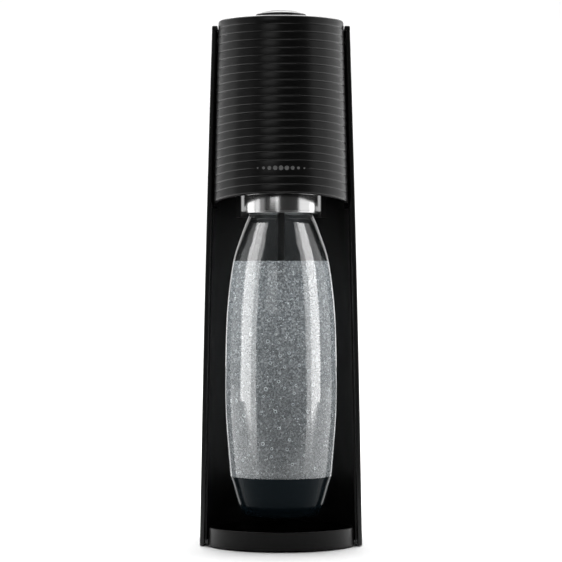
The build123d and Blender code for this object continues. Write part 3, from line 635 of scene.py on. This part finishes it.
def makeDots():
    z = head["topGroove"] - head["groovePitch"] * head["plainGroove"]
    radius = columnHalfWidth(z)
    small, growth = dotRow["smallRadius"], dotRow["largeRadius"] - dotRow["smallRadius"]
    proud, thickness = dotRow["proud"], dotRow["thickness"]
    bm = bmesh.new()
    for i in range(dotRow["count"]):
        share = i / (dotRow["count"] - 1)
        x = dotRow["halfSpan"] * (2.0 * share - 1.0)
        size = small + growth * math.sin(math.pi * share)
        rows = []
        for reach, lift in ((0.0, proud), (size * dotRow["flatShare"], proud),
                            (size, proud - dotRow["rimDrop"]), (size, -thickness), (0.0, -thickness)):
            ring = []
            for a in [2.0 * math.pi * k / dotRow["segments"] for k in range(dotRow["segments"])]:
                px, pz = x + reach * math.cos(a), reach * math.sin(a)
                turn = math.asin(px / radius)
                run = radius + lift
                ring.append((run * math.sin(turn), shellLow.y + radius - run * math.cos(turn), z + pz))
            rows.append(ring if reach else ring[:1])
        ringRows(bm, rows, closed=False)
    return finishPiece("dot_row", bm, inkMaterial, 50.0)


hand(makeDots(), "housing", "ribbed_black")
print("dot row made")


# Push button: a low crown with a soft shoulder

button = {
    "domeDrop": 0.0034,
    "domeReach": 0.0200,
    "sideDrop": 0.0044,
    "ceilingDrop": 0.0050,
    "skirtBottom": 0.4185,
    "skin": 0.0022,
    "stemRadius": 0.0065,
    "stemTipRadius": 0.0025,
    "stemTipHeight": 0.0026,
    "shoulderIn": 0.00018,
    "shoulderDrop": 0.0004,
    "crownSteps": 16,
}


def makeButton():
    low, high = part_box("button_cap")
    radius = (high.x - low.x) / 2
    axisY = (low.y + high.y) / 2
    skirt = button["skirtBottom"]
    ceiling = high.z - button["ceilingDrop"]
    reach, drop, steps = button["domeReach"], button["domeDrop"], button["crownSteps"]
    profile = [(0.0, low.z), (button["stemTipRadius"], low.z),
               (button["stemTipRadius"], low.z + button["stemTipHeight"]),
               (button["stemRadius"], low.z + button["stemTipHeight"]),
               (button["stemRadius"], ceiling), (radius - button["skin"], ceiling),
               (radius - button["skin"], skirt), (radius, skirt)]
    shoulder = (radius - button["shoulderIn"], high.z - drop - button["shoulderDrop"])
    profile += flowing([(radius, high.z - button["sideDrop"]), shoulder, (reach, high.z - drop)], 5)
    profile += [(reach * (1 - t), high.z - drop * (1 - t) ** 2)
                for t in [i / steps for i in range(1, steps + 1)]]
    return turned("push_button", profile, axisY, finishes["button_black"], 120, 35.0)


hand(makeButton(), "button", "button_black", "button_cap")
print("push button made")


# Steel band with a rolled lower lip

band = {
    "thickness": 0.0008,
    "lip": 0.0011,
    "lipIn": 0.00015,
    "edge": 0.0002,
    "seamIn": 0.0003,
    "seam": [0.00012, 0.00025, 0.0004],
    "shoulderIn": 0.00002,
}


def makeBand():
    low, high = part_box("trim_band")
    radius = (high.x - low.x) / 2
    inner = radius - band["thickness"]
    edge, lip, lipIn, seamIn = band["edge"], low.z + band["lip"], band["lipIn"], band["seamIn"]
    seamStart, seamEnd, shoulder = band["seam"]
    profile = [(inner, high.z), (inner, low.z + edge), (inner + edge, low.z)]
    profile += arc((radius - edge - lipIn, low.z + edge), edge, -90.0, 0.0)
    profile += [(radius - lipIn, lip), (radius - seamIn, lip + seamStart), (radius - seamIn, lip + seamEnd),
                (radius - band["shoulderIn"], lip + shoulder), (radius, high.z - edge)]
    profile += arc((radius - edge, high.z - edge), edge, 0.0, 90.0)[1:]
    return turned("steel_band", profile, (low.y + high.y) / 2, finishes["brushed_trim"], 160, 40.0)


hand(makeBand(), "carbonation_head", "brushed_trim", "trim_band")
print("steel band made")


# Bottle, its base cap, the water and the bubbles

bottle = {
    "wall": 0.0018,
    "side": [(0.0414, 0.0575), (0.0435, 0.083), (0.0452, 0.110), (0.0454, 0.140), (0.0439, 0.190),
             (0.0392, 0.2295), (0.0326, 0.252), (0.0245, 0.272), (0.0172, 0.2825)],
    "neckRadius": 0.016,
    "neckBore": 0.0125,
    "neckBottom": 0.284,
    "ringRadius": 0.019,
    "ringBottom": 0.288,
    "ringTop": 0.291,
    "heel": [(0.0, 0.0288), (0.012, 0.0287), (0.025, 0.0288), (0.032, 0.0333), (0.0365, 0.045),
             (0.0391, 0.0573)],
    "heelTop": 0.05,
    "ringEdge": 0.0004,
    "mouthEdge": 0.0006,
    "boreGap": 0.0008,
    "neckOverlap": 0.001,
    "heelSteps": 6,
    "sideSteps": 12,
}


def innerHeel(inShare, upShare):
    # The bottle's heel, moved in and up by shares of the wall
    wall = bottle["wall"]
    return [(max(r - inShare * wall, 0.0), z + upShare * wall)
            for r, z in flowing(bottle["heel"], bottle["heelSteps"]) if z < bottle["heelTop"]]


def makeBottle():
    wall, edge, corner = bottle["wall"], bottle["ringEdge"], bottle["mouthEdge"]
    neck, bore, ring = bottle["neckRadius"], bottle["neckBore"], bottle["ringRadius"]
    ringBottom, ringTop = bottle["ringBottom"], bottle["ringTop"]
    side = flowing(bottle["side"], bottle["sideSteps"])
    profile = flowing(bottle["heel"], bottle["heelSteps"]) + side
    profile += [(neck, bottle["neckBottom"]), (neck, ringBottom), (ring - edge, ringBottom),
                (ring, ringBottom + edge), (ring, ringTop - edge), (ring - edge, ringTop), (neck, ringTop)]
    profile += arc((neck - corner, bottleHigh.z - corner), corner, 0.0, 90.0)
    profile += arc((bore + corner, bottleHigh.z - corner), corner, 90.0, 180.0)
    innerSide = [point for point in inward(side, wall) if point[0] > bore + bottle["boreGap"]]
    profile += [(bore, bottle["neckBottom"] - bottle["neckOverlap"])] + list(reversed(innerSide[2:]))
    profile += list(reversed(innerHeel(0.6, 0.9)))
    return turned("bottle_wall", profile, bottleAxis[1], finishes["clear_bottle"], 144, 60.0)


# Base cap: outline points are a radius and a height above the cap's underside
cap = {
    "foot": [(0.0, 0.0006), (0.012, 0.0006), (0.0135, 0.0)],
    "side": [(0.028, 0.0), (0.0313, 0.0026), (0.035, 0.010), (0.039, 0.0246)],
    "sideSteps": 10,
    "rimEdge": 0.0005,
    "rimIn": 0.0004,
    "gap": 0.0003,
}


def makeCap():
    low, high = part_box("bottle_base_cap")
    rim = (high.x - low.x) / 2
    bulge = [(r, low.z + up) for r, up in cap["side"]]
    side = flowing(bulge + [(rim, high.z - cap["rimEdge"])], cap["sideSteps"])
    heel = [(r, z - cap["gap"]) for r, z in flowing(bottle["heel"], bottle["heelSteps"])]
    profile = [(r, low.z + up) for r, up in cap["foot"]] + side
    profile += [(rim - cap["rimIn"], high.z)] + list(reversed(heel))[1:]
    return turned("base_cap", profile, bottleAxis[1], finishes["cap_gloss"], 144, 35.0)


# Water: its side overlaps the bottle's wall a little, so that no air gap lies between them
water = {
    "overlap": 0.00015,
    "bottomGap": 0.002,
    "top": 0.2305,
    "meniscus": 0.0012,
    "meniscusSlope": (0.0006, 0.0004),
    "meniscusWidth": 0.0016,
    "steps": 44,
}


def innerRadius(height):
    # How far the bottle's inner wall stands from its axis at a height
    side = inward(flowing(bottle["side"], bottle["sideSteps"]), bottle["wall"])
    for (r0, z0), (r1, z1) in zip(side, side[1:]):
        if z0 <= height <= z1:
            return r0 + (r1 - r0) * (height - z0) / (z1 - z0)
    return side[0][0]


def makeWater():
    top, steps = water["top"], water["steps"]
    start = bottle["side"][0][1] + water["bottomGap"]
    side = [(innerRadius(z) + water["overlap"], z)
            for z in [start + (top + water["meniscus"] - start) * i / steps for i in range(steps + 1)]]
    rim = side[-1][0]
    slopeIn, slopeUp = water["meniscusSlope"]
    surface = [(rim - slopeIn, top + slopeUp), (rim - water["meniscusWidth"], top), (rim * 0.5, top),
               (0.0, top)]
    return turned("water", innerHeel(0.5, 0.8) + side + surface, bottleAxis[1], finishes["water"], 128, 50.0)


hand(makeBottle(), "bottle", "clear_bottle", "bottle_body")
hand(makeCap(), "bottle", "cap_gloss", "bottle_base_cap")
hand(makeWater(), "bottle", "water")
print("bottle, base cap and water made")


# Bubbles: small ones are balls, larger ones show as the ring where they touch the wall

bubbles = {
    "fine_bubbles": {
        "spacing": 0.0021, "smallest": 0.0002, "largest": 0.00055, "around": 6, "ring": 0.0, "seed": 3},
    "more_bubbles": {
        "spacing": 0.0025, "smallest": 0.0003, "largest": 0.0009, "around": 9, "ring": 1.0, "seed": 21},
    "coarse_bubbles": {
        "spacing": 0.0048, "smallest": 0.0006, "largest": 0.0017, "around": 12, "ring": 1.0, "seed": 8},
}
bubbleArea = {
    "aboveHeel": 0.004,
    "belowTop": 0.001,
    "outset": 0.0001,
    "rows": 40,
    "columns": 72,
    "thinnestAt": 0.055,
}


def makeBubbleTree():
    g, size = startGeometry("bubbles", {
        "Geometry": ["Geometry"], "Int": ["seed", "around"], "Material": ["finish"],
        "Float": ["spacing", "density", "smallest", "largest", "low", "high", "ring"]})
    scattered = g.node("GeometryNodeDistributePointsOnFaces", {"distribute_method": "POISSON"}, {
        "Mesh": size["Geometry"], "Distance Min": size["spacing"], "Density Max": size["density"],
        "Seed": size["seed"]})
    facing = Wire(g, scattered.socket.node.outputs["Rotation"])
    height = g.split(g.node("GeometryNodeInputPosition"))[2]
    share = g.smooth(height, size["low"], size["high"])

    def draw(seed):
        return g.node("FunctionNodeRandomValue", {"data_type": "FLOAT"}, {
            "Min": 0.0, "Max": 1.0, "Seed": seed}, output=1)

    points = g.node("GeometryNodeDeleteGeometry", {"domain": "POINT"}, {
        "Geometry": scattered, "Selection": draw(size["seed"]) > share * 0.75 + 0.25})
    spread = draw(size["seed"] + 11.0)
    radius = size["smallest"] + (size["largest"] - size["smallest"]) * spread * spread
    ball = g.node("GeometryNodeMeshUVSphere", None, {"Segments": size["around"], "Rings": 4, "Radius": 1.0})
    hoop = g.node("GeometryNodeCurvePrimitiveCircle", None, {"Resolution": size["around"], "Radius": 0.8})
    section = g.node("GeometryNodeCurvePrimitiveCircle", None, {"Resolution": 4, "Radius": 0.22})
    hoop = g.node("GeometryNodeCurveToMesh", None, {"Curve": hoop, "Profile Curve": section})
    shape = g.node("GeometryNodeSwitch", {"input_type": "GEOMETRY"}, {
        "Switch": size["ring"] > 0.5, "False": ball, "True": hoop})
    placed = g.node("GeometryNodeInstanceOnPoints", None, {
        "Points": points, "Instance": shape, "Rotation": facing,
        "Scale": g.node("ShaderNodeCombineXYZ", None, {"X": radius, "Y": radius, "Z": radius * 0.9})})
    return endGeometry(g, placed, size["finish"])


def bubbleSheet():
    # The surface that bubbles cling to, just inside the bottle's wall
    low, high = bottle["side"][0][1] + bubbleArea["aboveHeel"], water["top"] - bubbleArea["belowTop"]
    heights = [low + (high - low) * i / bubbleArea["rows"] for i in range(bubbleArea["rows"] + 1)]
    bm = bmesh.new()
    ringRows(bm, [ringAt(innerRadius(z) + bubbleArea["outset"], bottleAxis[1], z, bubbleArea["columns"])
                  for z in heights], closed=False)
    return plainMesh("bubbleSheet", bm)


bubbleTree = makeBubbleTree()
for name, values in bubbles.items():
    settings = dict(values, density=1.0 / values["spacing"] ** 2, low=bubbleArea["thinnestAt"],
                    high=water["top"], finish=bubbleMaterial)
    bubbleMesh = grow(name, bubbleTree, settings, bubbleSheet())
    hand(placeMesh(name, bubbleMesh, bubbleMaterial, 180.0), "bottle", "water")
    print(name, "has", len(bubbleMesh.polygons), "faces")


# Every remaining CAD node takes its slot's finish

for part in frame["record"]["subparts"]:
    for materialSlot in nodes[part["node"]].material_slots:
        materialSlot.material = finishes[part["material_slot"]]
print("finishes given to", len(nodes), "nodes")


# Studio: pale floor, soft boxes and the camera

studio = {
    "floorReach": 3.2,
    "wallY": 2.6,
    "wallTop": 3.0,
    "wallCurve": 0.8,
    "curveSteps": 16,
    "fadeFrom": -0.16,
    "fadeTo": -0.45,
    "worldGrey": 0.03,
    "aim": (0.0, -0.04, 0.25),
}

# Each soft box: way round from the front and height in degrees, distance, width and height in metres,
# brightness
softboxes = {
    "overhead": (180.0, 62.0, 2.2, 2.8, 2.2, 7.5),
    "top": (0.0, 62.0, 2.0, 1.2, 0.8, 1.4),
    "key": (-20.0, 13.0, 2.2, 0.9, 0.55, 0.95),
    "leftNear": (-62.0, 8.0, 1.6, 0.8, 1.9, 0.2),
    "leftFar": (-112.0, 8.0, 1.6, 1.7, 1.9, 0.6),
    "rightNear": (72.0, 8.0, 1.6, 1.0, 1.9, 0.5),
    "rightFar": (118.0, 8.0, 1.6, 1.7, 1.9, 0.9),
}

# Reflectors that light one group of pieces only: way round from the front and height in degrees, distance
# from the bottle's axis, width and height in metres, brightness, the middle's height, the group
reflectors = {
    "bottleLeft": (-72.0, 12.0, 1.5, 1.1, 2.8, 5.0, 0.2, "glassSet"),
    "bottleLeftCore": (-76.0, 12.0, 1.5, 0.7, 2.8, 5.0, 0.2, "glassSet"),
    "bottleRight": (70.0, 12.0, 1.5, 1.0, 2.8, 4.0, 0.2, "glassSet"),
    "bottleRightCore": (76.0, 12.0, 1.5, 0.6, 2.8, 7.0, 0.2, "glassSet"),
    "sideLeft": (-108.0, 0.0, 0.067, 0.034, 0.27, 1.6, 0.155, "sideSet"),
    "sideRight": (108.0, 0.0, 0.067, 0.034, 0.27, 1.6, 0.155, "sideSet"),
    "neckLeft": (-128.0, 0.0, 0.054, 0.036, 0.15, 0.9, 0.220, "sideSet"),
    "neckRight": (128.0, 0.0, 0.054, 0.036, 0.15, 0.9, 0.220, "sideSet"),
    "waterLeft": (-102.0, 5.0, 1.5, 0.7, 1.5, 8.0, 0.15, "waterSet"),
    "waterRight": (102.0, 5.0, 1.5, 0.7, 1.5, 8.0, 0.15, "waterSet"),
    "bandKey": (-10.0, 8.0, 1.5, 0.26, 1.2, 0.5, 0.3, "bandSet"),
    "bandLeft": (-92.0, 8.0, 1.5, 1.6, 1.6, 0.7, 0.3, "bandSet"),
    "bandRight": (82.0, 8.0, 1.5, 1.8, 1.6, 0.42, 0.3, "bandSet"),
    "bandEdgeLeft": (-118.0, 0.0, 0.052, 0.09, 0.05, 0.45, 0.298, "bandSet"),
    "bandEdgeRight": (118.0, 0.0, 0.052, 0.09, 0.05, 0.45, 0.298, "bandSet"),
}

lightSets = {
    "glassSet": ("bottle_wall", "water"),
    "sideSet": ("bottle_wall", "base_cap"),
    "waterSet": ("water", "fine_bubbles", "more_bubbles", "coarse_bubbles"),
    "bandSet": ("steel_band",),
}


def makeFloor():
    bm = bmesh.new()
    reach, wallY = studio["floorReach"], studio["wallY"]
    bend, steps = studio["wallCurve"], studio["curveSteps"]
    curve = [(-reach, 0.0), (wallY - bend, 0.0)]
    curve += [(wallY - bend + bend * math.sin(a), bend - bend * math.cos(a))
              for a in [math.pi / 2 * i / steps for i in range(1, steps + 1)]]
    curve += [(wallY, studio["wallTop"])]
    rows = [[bm.verts.new((x, y, z)) for x in (-reach, reach)] for y, z in curve]
    for low, high in zip(rows, rows[1:]):
        bm.faces.new((low[0], low[1], high[1], high[0]))
    material, tree = startMaterial("paleFloor")
    speck = tree.noise(tree.objectPlace(), 3.0, 2.0)
    depth = tree.split(tree.objectPlace())[1]
    pale = tree.node("ShaderNodeBsdfDiffuse", None, {"Color": tree.blend(speck, grey(0.86), grey(0.88))})
    clear = tree.node("ShaderNodeBsdfTransparent")
    mixed = tree.node("ShaderNodeMixShader", None, {
        0: tree.smooth(depth, studio["fadeTo"], studio["fadeFrom"]), 1: clear, 2: pale})
    tree.node("ShaderNodeOutputMaterial", None, {"Surface": mixed})
    floor = placeMesh("floor", plainMesh("floor", bm), material, 180.0)
    return floor


def makeSoftbox(name, values, aim):
    way, height, distance, width, tall, brightness = values
    around, up = math.radians(way), math.radians(height)
    light = bpy.data.lights.new(name, "AREA")
    light.shape = "RECTANGLE"
    light.size, light.size_y = width, tall
    light.energy = brightness * math.pi * width * tall
    box = bpy.data.objects.new(name, light)
    towards = Vector((math.sin(around) * math.cos(up), -math.cos(around) * math.cos(up), math.sin(up)))
    box.location = Vector(aim) + towards * distance
    box.rotation_euler = (-towards).to_track_quat("-Z", "Y").to_euler()
    box.visible_camera = False
    bpy.context.scene.collection.objects.link(box)
    return box


def collect(name, objects):
    collection = bpy.data.collections.new(name)
    for member in objects:
        collection.objects.link(member)
    return collection


# An empty blocker collection would let every piece block, so it holds the floor alone
unblocked = collect("unblocked", [makeFloor()])
groups = {name: collect(name, [bpy.data.objects[piece] for piece in pieces])
          for name, pieces in lightSets.items()}
for name, values in softboxes.items():
    makeSoftbox(name, values, studio["aim"])
for name, (*values, middle, group) in reflectors.items():
    box = makeSoftbox(name, values, (0.0, bottleAxis[1], middle))
    box.light_linking.receiver_collection = groups[group]
    box.light_linking.blocker_collection = unblocked
    box.visible_glossy = group != "waterSet"
    box.visible_transmission = False

# The dark pieces round the bottle stay out of the reflections in the glass and the band
for name in ("rear_collar", "bottle_cradle", "recess_liner"):
    nodes[name].visible_glossy = False

world = bpy.data.worlds.new("studio")
world.use_nodes = True
world.node_tree.nodes.clear()
sky = Tree(world.node_tree)
seen = sky.node("ShaderNodeLightPath", output=0)
level = seen * (1.0 - studio["worldGrey"]) + studio["worldGrey"]
sky.node("ShaderNodeOutputWorld", None, {
    "Surface": sky.node("ShaderNodeBackground", None, {"Color": grey(1.0), "Strength": level})})
scene = bpy.context.scene
scene.world = world
scene.view_settings.view_transform = "Standard"

view = {
    "distance": 2.0,
    "height": 0.2157,
    "lens": 154.06,
    "sensor": 36.0,
}
lens = bpy.data.cameras.new("camera")
lens.lens = view["lens"]
lens.sensor_width = view["sensor"]
camera = bpy.data.objects.new("camera", lens)
camera.location = (0.0, -view["distance"], view["height"])
camera.rotation_euler = (math.radians(90.0), 0.0, 0.0)
scene.collection.objects.link(camera)
scene.camera = camera
print("studio made")
